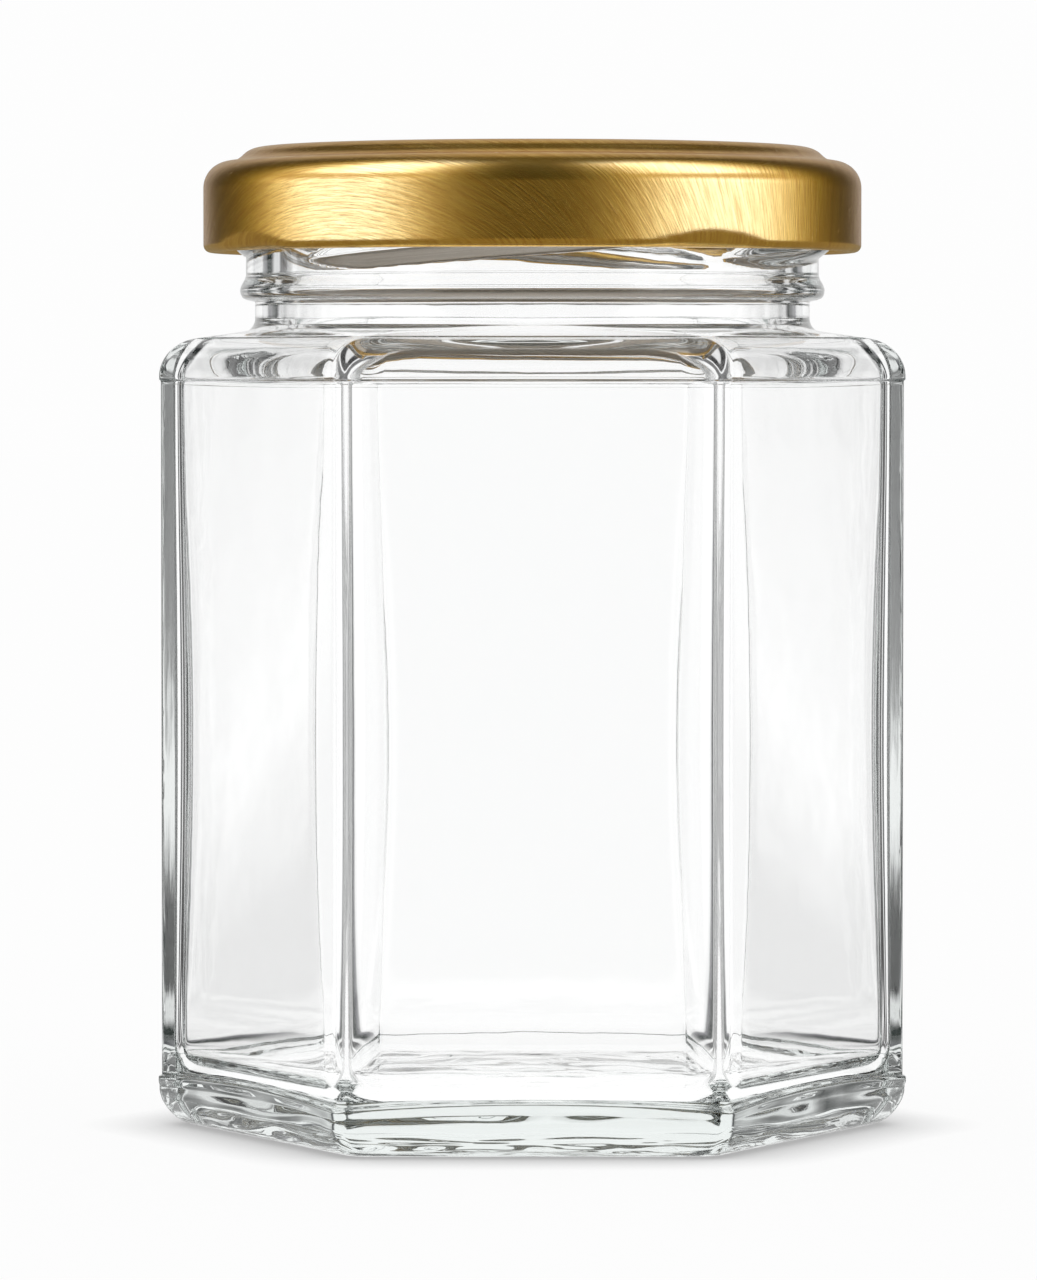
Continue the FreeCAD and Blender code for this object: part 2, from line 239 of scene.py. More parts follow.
def shoulder_rows(apothem, g):
    """From the six-sided wall over the round shoulder to the round neck, going up."""
    rise, inset = 3.9 * MM, 3.8 * MM
    fillet_at_corner, fillet_at_face = 1.5 * MM, 2.0 * MM
    slope, crowding = 0.14, 1.4
    end_angle = math.radians(80.0)
    rows = []
    for t in steps(20):
        angle = end_angle * t
        rows.append((apothem - inset * (1.0 - math.cos(angle)), g.corner,
                     g.shoulder_start + rise * math.sin(angle)))
    top_apothem, top_corner, top = rows[-1]
    share = 1.0 / math.cos(HALF_SIDE) - 1.0
    top_reach = top_apothem / math.cos(HALF_SIDE) - share * top_corner
    for t in steps(16, 1):
        height = top + (NECK_ROOT - top) * t ** crowding
        at_face = root_distance(height, g.neck_radius, NECK_ROOT, fillet_at_face)
        on_slope = top_reach - (height - top) / slope
        at_corner = max(on_slope, root_distance(height, g.neck_radius, NECK_ROOT, fillet_at_corner))
        corner = (at_face / math.cos(HALF_SIDE) - at_corner) / share
        rows.append((at_face, min(corner, at_face), height))
    return [section(*row) for row in rows]


def ripple(radii, seed):
    """The unevenness that pressed glass keeps where it cooled last: shallow
    waves a few millimetres long."""
    lifts = []
    for radius, angle in zip(radii, COLUMNS):
        place = Vector((radius * math.sin(angle), -radius * math.cos(angle), seed * MM))
        lifts.append(RIPPLE * noise.noise(place / RIPPLE_LENGTH))
    return np.array(lifts)


def heel_ripple(rows, g):
    """Shallow horizontal waves in the band over the foot, pressed inwards only."""
    for radii, heights in rows:
        if 0.2 * MM < heights[0] < g.panel_low:
            fade = float(smooth(0.2 * MM, 1.2 * MM, heights[0]))
            for column, angle in enumerate(COLUMNS):
                along = radii[column] / HEEL_RIPPLE_LENGTH
                place = Vector((along * math.sin(angle), -along * math.cos(angle),
                                heights[column] / HEEL_RIPPLE_HEIGHT))
                radii[column] -= HEEL_RIPPLE * fade * (0.5 + 0.5 * noise.noise(place))


def outside_rows(g):
    """The outside of the glass, from the middle of the foot up to the rim."""
    heel = g.heel_flats / 2.0
    panel = heel - g.panel_depth
    band = heel - g.panel_depth / 2.0
    ring = PUSH_UP_RADIUS + FOOT_EDGE
    foot = heel - HEEL_INSET
    rows = []
    for t in steps(36, 1):
        radii, heights = circle(PUSH_UP_RADIUS * t, PUSH_UP_DEPTH * (1.0 - t * t))
        heights += ripple(radii, 7.0) * (1.0 - smooth(0.85, 1.0, t))
        rows.append((radii, heights))
    rows.append(circle(ring, 0.0))
    foot_corner = g.corner + 1.4 * MM
    for t in steps(5, 1):
        apothem = ring + (foot - ring) * t
        rows.append(section(apothem, apothem + (foot_corner - apothem) * smooth(0.0, 1.0, t), 0.0))
    for t in steps(24, 1):
        inward = 1.0 - math.sin(math.pi / 2.0 * t)
        height = HEEL_HEIGHT * (1.0 - math.cos(math.pi / 2.0 * t))
        rows.append(section(heel - HEEL_INSET * inward,
                            g.corner + (foot_corner - g.corner) * inward, height))
    edge_low, edge_high = g.panel_low - 0.1 * MM, g.panel_low + 0.15 * MM
    for t in steps(3, 1):
        rows.append(section(heel, g.corner, HEEL_HEIGHT + (edge_low - HEEL_HEIGHT) * t))
    for t in steps(8, 1):
        rows.append(section(heel - g.panel_depth * smooth(0.0, 1.0, t), g.corner,
                            edge_low + (edge_high - edge_low) * t))
    low, high = edge_high, g.panel_high - 0.1 * MM
    for t in eased(22):
        rows.append(section(panel, g.corner, low + (high - low) * t))
    for t in steps(5, 1):
        rows.append(section(panel + (band - panel) * smooth(0.0, 1.0, t), g.corner,
                            high + 0.25 * MM * t))
    rows += shoulder_rows(band, g)
    arch_rows(rows, g)
    heel_ripple(rows, g)
    for t in steps(4, 1):
        rows.append(circle(g.neck_radius, NECK_ROOT + (BEAD_LOW - NECK_ROOT) * t))
    return rows + finish_rows(g)


def arch_rows(rows, g):
    """Lifts the panels' lower edge in the middle of each side."""
    across = np.tan(FROM_FACE) / math.tan(HALF_SIDE)
    bow = g.panel_arch * (1.0 - across ** 2)
    for radii, heights in rows:
        if heights[0] > 2.5 * MM:
            fade_in = smooth(2.5 * MM, 4.5 * MM, heights)
            heights += bow * fade_in * (1.0 - smooth(6.0 * MM, 11.0 * MM, heights))


def thread_lift(heights, g):
    """How far the four threads stand out of the finish at this row."""
    lift = np.zeros_like(COLUMNS)
    for number in range(THREADS):
        start = THREAD_START + number * 2.0 * math.pi / THREADS
        along = ((COLUMNS - start) % (2.0 * math.pi)) / THREAD_SPAN
        middle = THREAD_LOW + THREAD_RISE * along
        ends = smooth(0.0, 0.16, along) * (1.0 - smooth(0.5, 1.0, along))
        half_height = THREAD_HALF_WIDTH * np.sqrt(np.maximum(ends, 1e-6))
        across = np.clip(np.abs(heights - middle) / half_height, 0.0, 1.0)
        ridge = (1.0 - across ** 2) ** 1.5
        lift += np.where(along <= 1.0, g.thread_height * ends * ridge, 0.0)
    return lift


def finish_rows(g):
    """Bead, threads and rim, going up."""
    flare_top = BEAD_LOW + 0.3 * MM
    flare = g.bead_radius - BEAD_EDGE
    rows = []
    for t in steps(6, 1):
        rows.append(circle(g.neck_radius + (flare - g.neck_radius) * smooth(0.0, 1.0, t),
                           BEAD_LOW + (flare_top - BEAD_LOW) * t))
    for t in steps(8, 1):
        angle = math.pi / 2.0 * t
        rows.append(circle(g.bead_radius - BEAD_EDGE * (1.0 - math.sin(angle)),
                           flare_top + (BEAD_MIDDLE - flare_top) * (1.0 - math.cos(angle))))
    for t in steps(8, 1):
        rows.append(circle(g.bead_radius + (g.finish_radius - g.bead_radius) * smooth(0.0, 1.0, t),
                           BEAD_MIDDLE + (BEAD_HIGH - BEAD_MIDDLE) * t))
    top = g.rim_top - RIM_ROUNDING
    for t in steps(64, 1):
        radii, heights = circle(g.finish_radius, BEAD_HIGH + (top - BEAD_HIGH) * t)
        rows.append((radii + thread_lift(heights, g), heights))
    for t in steps(8, 1):
        angle = math.pi / 2.0 * t
        rows.append(circle(g.finish_radius - RIM_ROUNDING * (1.0 - math.cos(angle)),
                           top + RIM_ROUNDING * math.sin(angle)))
    return rows


def inner_corner(height):
    """The inner corners are widest half way up the wall."""
    away = abs(height - WIDEST) / (INNER_SHOULDER - WIDEST)
    return WIDE_CORNER + (NARROW_CORNER - WIDE_CORNER) * float(smooth(0.0, 1.0, away))


def inner_apothem(g):
    return g.heel_flats / 2.0 - g.panel_depth - g.wall


def inner_distance(height, g):
    """Distance from the axis to the inside in the middle of a side: the wall
    bends in, runs straight for a little and bends back up into the bore."""
    apothem = inner_apothem(g)
    inset, rise = apothem - g.bore_radius, BORE_LOW - INNER_TURN
    up = min(max(height - INNER_TURN, 0.0), rise)
    sine, cosine = math.sin(INNER_LEAN), math.cos(INNER_LEAN)
    straight = (inset * sine - rise * (1.0 - cosine)) / (1.0 - cosine)
    radius = (rise - straight * cosine) / sine / 2.0
    if up < radius * sine:
        return apothem - radius + math.sqrt(radius ** 2 - up ** 2)
    if up > rise - radius * sine:
        return g.bore_radius + radius - math.sqrt(radius ** 2 - (rise - up) ** 2)
    return apothem - radius * (1.0 - cosine) - (up - radius * sine) * sine / cosine


def inner_shoulder_rows(g):
    """From the round bore down to the six-sided inside: the corners widen upwards
    until the inside is round, while the sides bend in."""
    rows = []
    for t in steps(24, 1):
        height = BORE_LOW + (INNER_ROUND - BORE_LOW) * t
        rows.append(circle(inner_distance(height, g), height))
    for t in steps(30, 1):
        angle = math.pi / 2.0 * (1.0 - t)
        height = INNER_SHOULDER + (INNER_ROUND - INNER_SHOULDER) * math.sin(angle)
        apothem = inner_distance(height, g)
        widened = (apothem - NARROW_CORNER) * (1.0 - math.cos(angle))
        rows.append(section(apothem, NARROW_CORNER + widened, height))
    return rows


def inside_rows(g):
    """The inside of the glass, from the rim down to the middle of the floor."""
    rows = []
    for t in steps(8):
        angle = math.pi / 2.0 * t
        rows.append(circle(g.bore_radius + RIM_ROUNDING * (1.0 - math.sin(angle)),
                           g.rim_top - RIM_ROUNDING * (1.0 - math.cos(angle))))
    top = g.rim_top - RIM_ROUNDING
    for t in eased(10):
        rows.append(circle(g.bore_radius, top + (BORE_LOW - top) * t))
    rows += inner_shoulder_rows(g)
    apothem = inner_apothem(g)
    wall_low = g.floor + INNER_HEEL
    for t in eased(24):
        height = INNER_SHOULDER + (wall_low - INNER_SHOULDER) * t
        rows.append(section(apothem, inner_corner(height), height))
    flat = apothem - INNER_HEEL
    for t in steps(24, 1):
        angle = math.pi / 2.0 * (1.0 - t)
        inward = INNER_HEEL * (1.0 - math.sin(angle))
        height = g.floor + INNER_HEEL * (1.0 - math.cos(angle))
        rows.append(section(apothem - inward, inner_corner(height), height))
    corner = inner_corner(g.floor)
    for t in steps(36, 1)[:-1]:
        across, sharp = flat * (1.0 - t), corner * (1.0 - t)
        rounded = sharp + (across - sharp) * float(smooth(0.0, 0.6, t))
        radii, heights = section(across, rounded, g.floor + FLOOR_DOME * float(smooth(0.0, 1.0, t)))
        rows.append((radii, heights + ripple(radii, 3.0) * smooth(0.0, 0.12, t)))
    return rows


def turned_mesh(name, rows, first=None, last=None):
    """A closed mesh through rows of points round the axis: with a point on the
    axis at each end of the run, or else as a ring whose last row meets its first."""
    count = len(COLUMNS)
    grid = np.empty((len(rows), count, 3))
    for number, (radii, heights) in enumerate(rows):
        grid[number, :, 0] = radii * np.sin(COLUMNS)
        grid[number, :, 1] = -radii * np.cos(COLUMNS)
        grid[number, :, 2] = heights
    points = [tuple(p) for p in grid.reshape(-1, 3)]
    faces = []
    rings = len(rows)
    for row in range(rings - 1 if first is not None else rings):
        low, high = row * count, (row + 1) % rings * count
        faces += [(low + i, low + (i + 1) % count, high + (i + 1) % count, high + i)
                  for i in range(count)]
    if first is not None:
        points += [(0.0, 0.0, first), (0.0, 0.0, last)]
        start, end = len(points) - 2, len(points) - 1
        top = (rings - 1) * count
        faces += [(start, (i + 1) % count, i) for i in range(count)]
        faces += [(end, top + i, top + (i + 1) % count) for i in range(count)]
    return smooth_mesh(name, points, faces)


def smooth_mesh(name, points, faces):
    mesh = bpy.data.meshes.new(name)
    mesh.from_pydata(points, [], faces)
    mesh.polygons.foreach_set("use_smooth", [True] * len(mesh.polygons))
    mesh.update()
    return mesh


def add_piece(name, mesh, material, node=None):
    """Puts a mesh in the scene as a piece of the jar."""
    piece = bpy.data.objects.new(name, mesh)
    bpy.context.scene.collection.objects.link(piece)
    mesh.materials.append(material)
    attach(piece, "root")
    if node:
        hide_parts(node)
    return piece


# ---------------------------------------------------------------- materials

def add_node(tree, kind, place, settings=None, links=None, **values):
    """Adds a shader node: settings are its own options, values its inputs by
    name, and links its inputs fed by other nodes' outputs."""
    node = tree.nodes.new(kind)
    node.location = (place[0] * 220.0, place[1] * -220.0)
    for key, value in (settings or {}).items():
        setattr(node, key, value)
    for key, value in values.items():
        node.inputs[key.replace("_", " ")].default_value = value
    for key, output in (links or {}).items():
        tree.links.new(output, node.inputs[key])
    return node


def map_range(tree, place, value, source, target=(0.0, 1.0), shape="LINEAR"):
    """Maps a range of values onto another, and holds it at both ends."""
    node = add_node(tree, "ShaderNodeMapRange", place, {"interpolation_type": shape},
                    {"Value": value})
    for key, number in zip(("From Min", "From Max", "To Min", "To Max"), (*source, *target)):
        node.inputs[key].default_value = number
    return node.outputs[0]


def between(tree, fac, low, high, place, blend="MIX"):
    """A colour between two, by a factor."""
    node = add_node(tree, "ShaderNodeMix", place, {"data_type": "RGBA", "blend_type": blend},
                    {"Factor": fac})
    for key, value in (("A", low), ("B", high)):
        if isinstance(value, tuple):
            node.inputs[key].default_value = (*value, 1.0)
        else:
            tree.links.new(value, node.inputs[key])
    return node.outputs["Result"]


def new_material(name):
    material = bpy.data.materials.new(name)
    material.use_nodes = True
    material.node_tree.nodes.clear()
    return material


def flint_glass(colours):
    """Clear soda-lime glass, pressed and blown in a mould: almost colourless
    through a wall, grey-green along the thick edges, its inside gently rippled."""
    material = new_material("flint_glass_mould_blown")
    tree = material.node_tree
    place = add_node(tree, "ShaderNodeTexCoord", (0, 0))
    chill = add_node(tree, "ShaderNodeTexNoise", (1, 0), links={"Vector": place.outputs["Object"]},
                     Scale=140.0, Detail=2.0, Roughness=0.45)
    relief = add_node(tree, "ShaderNodeBump", (2, 0), links={"Height": chill.outputs["Fac"]},
                      Strength=0.35, Distance=0.05 * MM)
    shader = add_node(tree, "ShaderNodeBsdfPrincipled", (3, 0),
                      links={"Normal": relief.outputs["Normal"]}, Base_Color=(1.0, 1.0, 1.0, 1.0),
                      Roughness=0.0, IOR=1.52, Transmission_Weight=1.0)
    depth = add_node(tree, "ShaderNodeVolumeAbsorption", (3, 1),
                     Color=(*colours.glass_tint, 1.0), Density=15.0)
    add_node(tree, "ShaderNodeOutputMaterial", (4, 0),
             links={"Surface": shader.outputs["BSDF"], "Volume": depth.outputs["Volume"]})
    return material


def rolled_noise(tree, blank, place, long, wide, detail, roughness):
    """Noise drawn out along the direction in which the sheet was rolled."""
    grain = add_node(tree, "ShaderNodeMapping", place, {"vector_type": "TEXTURE"},
                     {"Vector": blank})
    grain.inputs["Rotation"].default_value = (0.0, 0.0, ROLLING)
    grain.inputs["Scale"].default_value = (long, wide, 1.0)
    noisy = add_node(tree, "ShaderNodeTexNoise", (place[0] + 1, place[1]),
                     links={"Vector": grain.outputs[0]},
                     Scale=1.0, Detail=detail, Roughness=roughness)
    return noisy.outputs["Fac"]


def gold_lacquer(colours, lid):
    """Tinplate with a gold lacquer: the fine straight grain of the rolled sheet
    shows through, and bends down the skirt where the lid was drawn from it."""
    material = new_material("gold_lacquered_tinplate")
    tree = material.node_tree
    place = add_node(tree, "ShaderNodeTexCoord", (0, 0))
    flat = add_node(tree, "ShaderNodeVectorMath", (1, 0), {"operation": "MULTIPLY"},
                    {0: place.outputs["Object"]})
    flat.inputs[1].default_value = (1.0, 1.0, 0.0)
    away = add_node(tree, "ShaderNodeVectorMath", (2, 1), {"operation": "LENGTH"},
                    {0: flat.outputs[0]})
    outward = add_node(tree, "ShaderNodeVectorMath", (2, 0), {"operation": "NORMALIZE"},
                       {0: flat.outputs[0]})
    parts = add_node(tree, "ShaderNodeSeparateXYZ", (1, 2),
                     links={"Vector": place.outputs["Object"]})
    drop = add_node(tree, "ShaderNodeMath", (2, 2), {"operation": "SUBTRACT", "use_clamp": True},
                    {1: parts.outputs["Z"]})
    drop.inputs[0].default_value = lid.top - STEP_DROP
    reach = add_node(tree, "ShaderNodeMath", (3, 1), {"operation": "ADD"},
                     {0: away.outputs["Value"], 1: drop.outputs[0]})
    blank = add_node(tree, "ShaderNodeVectorMath", (4, 0), {"operation": "SCALE"},
                     {0: outward.outputs[0], "Scale": reach.outputs[0]})
    sheet, fine = blank.outputs[0], lid.hairline
    hair = rolled_noise(tree, sheet, (5, 0), 16.0 * fine, fine, 3.0, 0.6)
    cloud = rolled_noise(tree, sheet, (5, 2), 40.0 * fine, 5.0 * fine, 2.0, 0.5)
    tone = map_range(tree, (7, 1), cloud, (0.3, 0.7), (0.0, 0.35))
    line = map_range(tree, (7, 2), hair, (0.30, 0.70), (-0.25, 0.50))
    mixed = add_node(tree, "ShaderNodeMath", (8, 2), {"operation": "ADD", "use_clamp": True},
                     {0: tone, 1: line})
    paint = between(tree, mixed.outputs[0], tuple(colours.gold), tuple(colours.gold_deep), (8, 1))
    dull = map_range(tree, (8, 0), hair, (0.25, 0.75), (0.17, 0.28))
    relief = add_node(tree, "ShaderNodeBump", (8, 3), links={"Height": hair},
                      Strength=0.7, Distance=0.022 * MM)
    shader = add_node(tree, "ShaderNodeBsdfPrincipled", (9, 0),
                      links={"Base Color": paint, "Roughness": dull,
                             "Normal": relief.outputs["Normal"]}, Metallic=1.0)
    add_node(tree, "ShaderNodeOutputMaterial", (10, 0), links={"Surface": shader.outputs["BSDF"]})
    return material


def inside_lacquer(colours):
    """Pale food lacquer on the inside of the lid, rolled on and stoved: smooth, faintly cloudy."""
    material = new_material("cream_lacquered_tinplate")
    tree = material.node_tree
    place = add_node(tree, "ShaderNodeTexCoord", (0, 0))
    cloud = add_node(tree, "ShaderNodeTexNoise", (1, 0), links={"Vector": place.outputs["Object"]},
                     Scale=260.0, Detail=3.0)
    darker = tuple(0.9 * part for part in colours.inside)
    tone = between(tree, cloud.outputs["Fac"], tuple(colours.inside), darker, (2, 0))
    shader = add_node(tree, "ShaderNodeBsdfPrincipled", (3, 0), links={"Base Color": tone},
                      Roughness=0.35)
    add_node(tree, "ShaderNodeOutputMaterial", (4, 0), links={"Surface": shader.outputs["BSDF"]})
    return material


def plastisol(colours):
    """Soft sealing compound, flowed into the lid and baked: matt, slightly uneven."""
    material = new_material("plastisol_flowed")
    tree = material.node_tree
    place = add_node(tree, "ShaderNodeTexCoord", (0, 0))
    grain = add_node(tree, "ShaderNodeTexNoise", (1, 0), links={"Vector": place.outputs["Object"]},
                     Scale=900.0, Detail=2.0)
    relief = add_node(tree, "ShaderNodeBump", (2, 0), links={"Height": grain.outputs["Fac"]},
                      Strength=0.3, Distance=0.05 * MM)
    shader = add_node(tree, "ShaderNodeBsdfPrincipled", (3, 0),
                      links={"Normal": relief.outputs["Normal"]},
                      Base_Color=(*colours.seal, 1.0), Roughness=0.55)
    add_node(tree, "ShaderNodeOutputMaterial", (4, 0), links={"Surface": shader.outputs["BSDF"]})
    return material


# ---------------------------------------------------------------- operators

class JAMJAR_OT_glass(bpy.types.Operator):
    """Builds the glass jar with its threads, bead, panels and hollow inside"""
    bl_idname = "jamjar.glass"
    bl_label = "Glass jar"

    def execute(self, context):
        settings = context.scene.jamjar_glass
        rows = outside_rows(settings) + inside_rows(settings)
        mesh = turned_mesh("jar_glass", rows, PUSH_UP_DEPTH, settings.floor + FLOOR_DOME)
        glass = flint_glass(context.scene.jamjar_finishes)
        add_piece("jar_glass", mesh, glass, "jar")
        return {"FINISHED"}


def lid_rows(lid):
    """The lid's sheet, from the middle of its top, down the outside, round the
    curled edge and back up the inside."""
    ring_top = lid.top - STEP_DROP
    bend = 2.7 * MM
    curl = 0.75 * MM
    edge_radius, edge_bend, edge_squash = 27.3 * MM, 2.3 * MM, 0.72
    outer = [(r * MM, lid.top) for r in (2.0, 5.0, 9.0, 13.0, 17.0, 21.0, 24.5, 26.5)]
    for t in steps(10, 0):
        angle = math.radians(55.0) * t
        outer.append((edge_radius + edge_bend * math.sin(angle),
                      lid.top - edge_bend * (1.0 - math.cos(angle)) * edge_squash))
    start_r, start_z = outer[-1]
    end_r = lid.radius - bend
    for t in steps(8, 1):
        radius = start_r + (end_r - start_r) * t
        outer.append((radius, ring_top + (start_z - ring_top) * (1.0 - t) ** 2))
    for t in steps(14, 1):
        angle = math.pi / 2.0 * t
        outer.append((end_r + bend * math.sin(angle), ring_top - bend * (1.0 - math.cos(angle))))
    skirt_top, skirt_low = ring_top - bend, lid.edge + curl
    for t in steps(40, 1):
        outer.append((lid.radius, skirt_top + (skirt_low - skirt_top) * t))
    middle = lid.radius - curl
    for t in steps(20, 1):
        angle = math.radians(250.0) * t
        outer.append((middle + curl * math.cos(angle), skirt_low - curl * math.sin(angle)))
    inner_r, inner_bend, under = lid.radius - lid.sheet, bend - lid.sheet, lid.top - lid.sheet
    inner = [(inner_r, skirt_low + 1.3 * MM), (inner_r, skirt_top)]
    for t in steps(10, 1):
        angle = math.pi / 2.0 * (1.0 - t)
        inner.append((end_r + inner_bend * math.sin(angle),
                      skirt_top + inner_bend * math.cos(angle)))
    inner += [(29.6 * MM, ring_top - lid.sheet + 0.3 * MM), (28.9 * MM, lid.top - 0.9 * MM),
              (edge_radius, under), (20.0 * MM, under), (8.0 * MM, under)]
    rows = []
    for radius, height in outer + inner:
        radii, heights = circle(radius, height)
        if radius > 31.0 * MM and height < 91.0 * MM:
            radii = radii - lug_dent(heights, lid)
        rows.append((radii, heights))
    return rows, len(outer)


def lug_angles():
    return [FIRST_LUG + number * 2.0 * math.pi / LUGS for number in range(LUGS)]


def lug_dent(heights, lid):
    """How far the skirt is pressed in over the lugs."""
    deepest, top = 0.7 * MM, 89.9 * MM
    soft, reach = 0.06 * MM, 0.5
    dent = np.zeros_like(COLUMNS)
    for centre in lug_angles():
        off = (COLUMNS - centre + math.pi) % (2.0 * math.pi) - math.pi
        tilt = deepest * (top - heights) / (top - lid.edge)
        flat = lid.radius - (lid.radius - tilt) / np.maximum(np.cos(off), reach)
        dent += np.where(np.abs(off) < reach, soft * np.logaddexp(0.0, flat / soft), 0.0)
    return dent


def lug_mesh(lid):
    """The four lugs: the curled edge squeezed flat and turned in under a thread."""
    root = lid.radius - 1.2 * MM
    tip = 29.35 * MM
    middle_height = lid.edge + 1.0 * MM
    half_thick = 0.42 * MM
    half_span = math.radians(8.5)
    droop = 0.35 * MM
    across, around = 28, 20
    points, faces = [], []
    for centre in lug_angles():
        first = len(points)
        for column in range(across + 1):
            u = 2.0 * column / across - 1.0
            end = math.sqrt(max(1.0 - abs(u) ** 5, 0.0))
            nose = root - (root - tip) * (0.3 + 0.7 * end)
            thick = half_thick * (0.25 + 0.75 * end)
            angle = centre + half_span * u
            for step in range(around):
                turn = 2.0 * math.pi * step / around
                radius = (root + nose) / 2.0 + (root - nose) / 2.0 * math.cos(turn)
                lift = thick * math.copysign(abs(math.sin(turn)) ** 0.7, math.sin(turn))
                slope = droop * (root - radius) / (root - tip)
                points.append((radius * math.sin(angle), -radius * math.cos(angle),
                               middle_height + lift - slope))
        for column in range(across):
            low, high = first + column * around, first + (column + 1) * around
            faces += [(low + i, high + i, high + (i + 1) % around, low + (i + 1) % around)
                      for i in range(around)]
        last = first + across * around
        faces.append([first + i for i in range(around)])
        faces.append([last + i for i in reversed(range(around))])
    return smooth_mesh("lid_lugs", points, faces)


class JAMJAR_OT_lid(bpy.types.Operator):
    """Builds the twist-off lid with its step, curled edge and lugs"""
    bl_idname = "jamjar.lid"
    bl_label = "Lid"

    def execute(self, context):
        lid = context.scene.jamjar_lid
        rows, outside = lid_rows(lid)
        mesh = turned_mesh("lid_cap", rows, lid.top, lid.top - lid.sheet)
        mesh.flip_normals()
        finishes = context.scene.jamjar_finishes
        pale = inside_lacquer(finishes)
        add_piece("lid_cap", mesh, gold_lacquer(finishes, lid), "lid")
        mesh.materials.append(pale)
        # faces from the hidden end of the curl up to the middle of the inside
        count, inside = len(COLUMNS), outside - 4
        for face in mesh.polygons:
            row = face.index // count
            hidden = inside <= row < len(rows) - 1 or face.index >= len(rows) * count
            face.material_index = int(hidden)
        add_piece("lid_lugs", lug_mesh(lid), pale)
        return {"FINISHED"}


class JAMJAR_OT_seal(bpy.types.Operator):
    """Builds the ring of soft compound that the rim of the glass beds into"""
    bl_idname = "jamjar.seal"
    bl_label = "Sealing ring"

    def execute(self, context):
        lid = context.scene.jamjar_lid
        top, low = lid.top - lid.sheet, context.scene.jamjar_glass.rim_top + 0.01 * MM
        edge = low + 0.15 * MM
        profile = [(25.2, top), (25.2, edge), (25.5, low), (28.2, low), (28.5, edge),
                   (28.5, top - 0.25 * MM), (27.2, top)]
        rows = [circle(radius * MM, height) for radius, height in profile]
        mesh = turned_mesh("lid_seal", rows)
        add_piece("lid_seal", mesh, plastisol(context.scene.jamjar_finishes))
        return {"FINISHED"}


class JAMJAR_OT_stage(bpy.types.Operator):
    """Sets up the floor, the studio light and the camera"""
    bl_idname = "jamjar.stage"
    bl_label = "Stage"

    def execute(self, context):
        scene = context.scene
        scene.view_settings.view_transform = "Standard"
        scene.cycles.max_bounces = 40
        scene.cycles.transmission_bounces = 40
        scene.cycles.glossy_bounces = 16
        build_floor(scene)
        build_world(scene)
        build_camera(scene, scene.jamjar_stage)
        return {"FINISHED"}


# ---------------------------------------------------------------- stage

WHITE = (0.985, 0.985, 0.985)
BRIGHT = (1.12, 1.12, 1.12)
DARK = (0.022, 0.030, 0.027)

# what the glass shows of the room, by degrees off the backdrop: white, with dark
# flags beside the backdrop and a grey wall opposite it
FLAGS = (
    (0.0, BRIGHT), (24.0, BRIGHT),
    (27.5, (0.90, 0.90, 0.90)), (29.0, (0.30, 0.30, 0.31)), (32.0, (0.14, 0.14, 0.15)),
    (34.5, DARK), (38.0, DARK),
    (39.5, (0.30, 0.30, 0.30)), (41.5, (0.90, 0.90, 0.90)), (45.5, (0.85, 0.85, 0.85)),
    (47.5, (0.05, 0.05, 0.05)), (56.0, (0.06, 0.06, 0.06)),
    (58.0, (1.0, 1.0, 1.0)), (59.8, (1.0, 1.0, 1.0)),
    (61.3, (0.20, 0.20, 0.20)), (66.0, (0.18, 0.18, 0.18)), (71.0, (0.14, 0.14, 0.14)),
    (74.0, (0.60, 0.60, 0.60)), (76.0, (1.05, 1.05, 1.05)), (134.0, (1.05, 1.05, 1.05)),
    (142.0, (0.20, 0.21, 0.21)), (180.0, (0.20, 0.21, 0.21)))

BOX_STRENGTH = 1.232


def softbox(red, green, blue):
    return BOX_STRENGTH * red, BOX_STRENGTH * green, BOX_STRENGTH * blue


# what the lid mirrors: the backdrop, the dim room, a softbox with warm edges and a
# bluish middle, brighter than white, and the dim room again
SOFTBOXES = (
    (0.0, (0.55, 0.52, 0.48)), (20.0, (0.42, 0.39, 0.4)), (30.0, (0.15, 0.14, 0.14)),
    (40.0, (0.06, 0.05, 0.03)), (55.0, (0.1, 0.08, 0.02)), (66.0, (0.314, 0.269, 0.09)),
    (74.0, softbox(0.60, 0.56, 0.35)), (82.0, softbox(1.1, 1.15, 1.2)),
    (90.0, softbox(1.6, 1.9, 3.2)), (100.0, softbox(2.0, 2.5, 5.4)),
    (122.0, softbox(2.0, 2.5, 5.4)), (132.0, softbox(1.6, 1.9, 3.2)),
    (140.0, softbox(0.90, 0.92, 0.95)), (148.0, (0.46, 0.43, 0.29)),
    (156.0, (0.24, 0.22, 0.13)), (165.0, (0.085, 0.08, 0.04)), (180.0, (0.06, 0.055, 0.028)))

# the room above, as the lid mirrors it low over the horizon and straight up
LOW_CEILING = (0.80, 0.74, 0.60)
HIGH_CEILING = (0.12, 0.11, 0.065)
# the floor as the lid mirrors it: a painted dim reflection that the floor glows with
PAINTED_FLOOR_IN_LID = (0.32, 0.28, 0.18)
ZENITH = (0.5, 0.51, 0.5)

FLOOR_HALF = 6.0
FILM_OF_AIR = 0.05 * MM         # between the foot and the floor
CONTACT_REACH = 0.009
CONTACT_SHARE = 0.94            # how much of the floor's shade is contact shade
GLANCE = 0.68


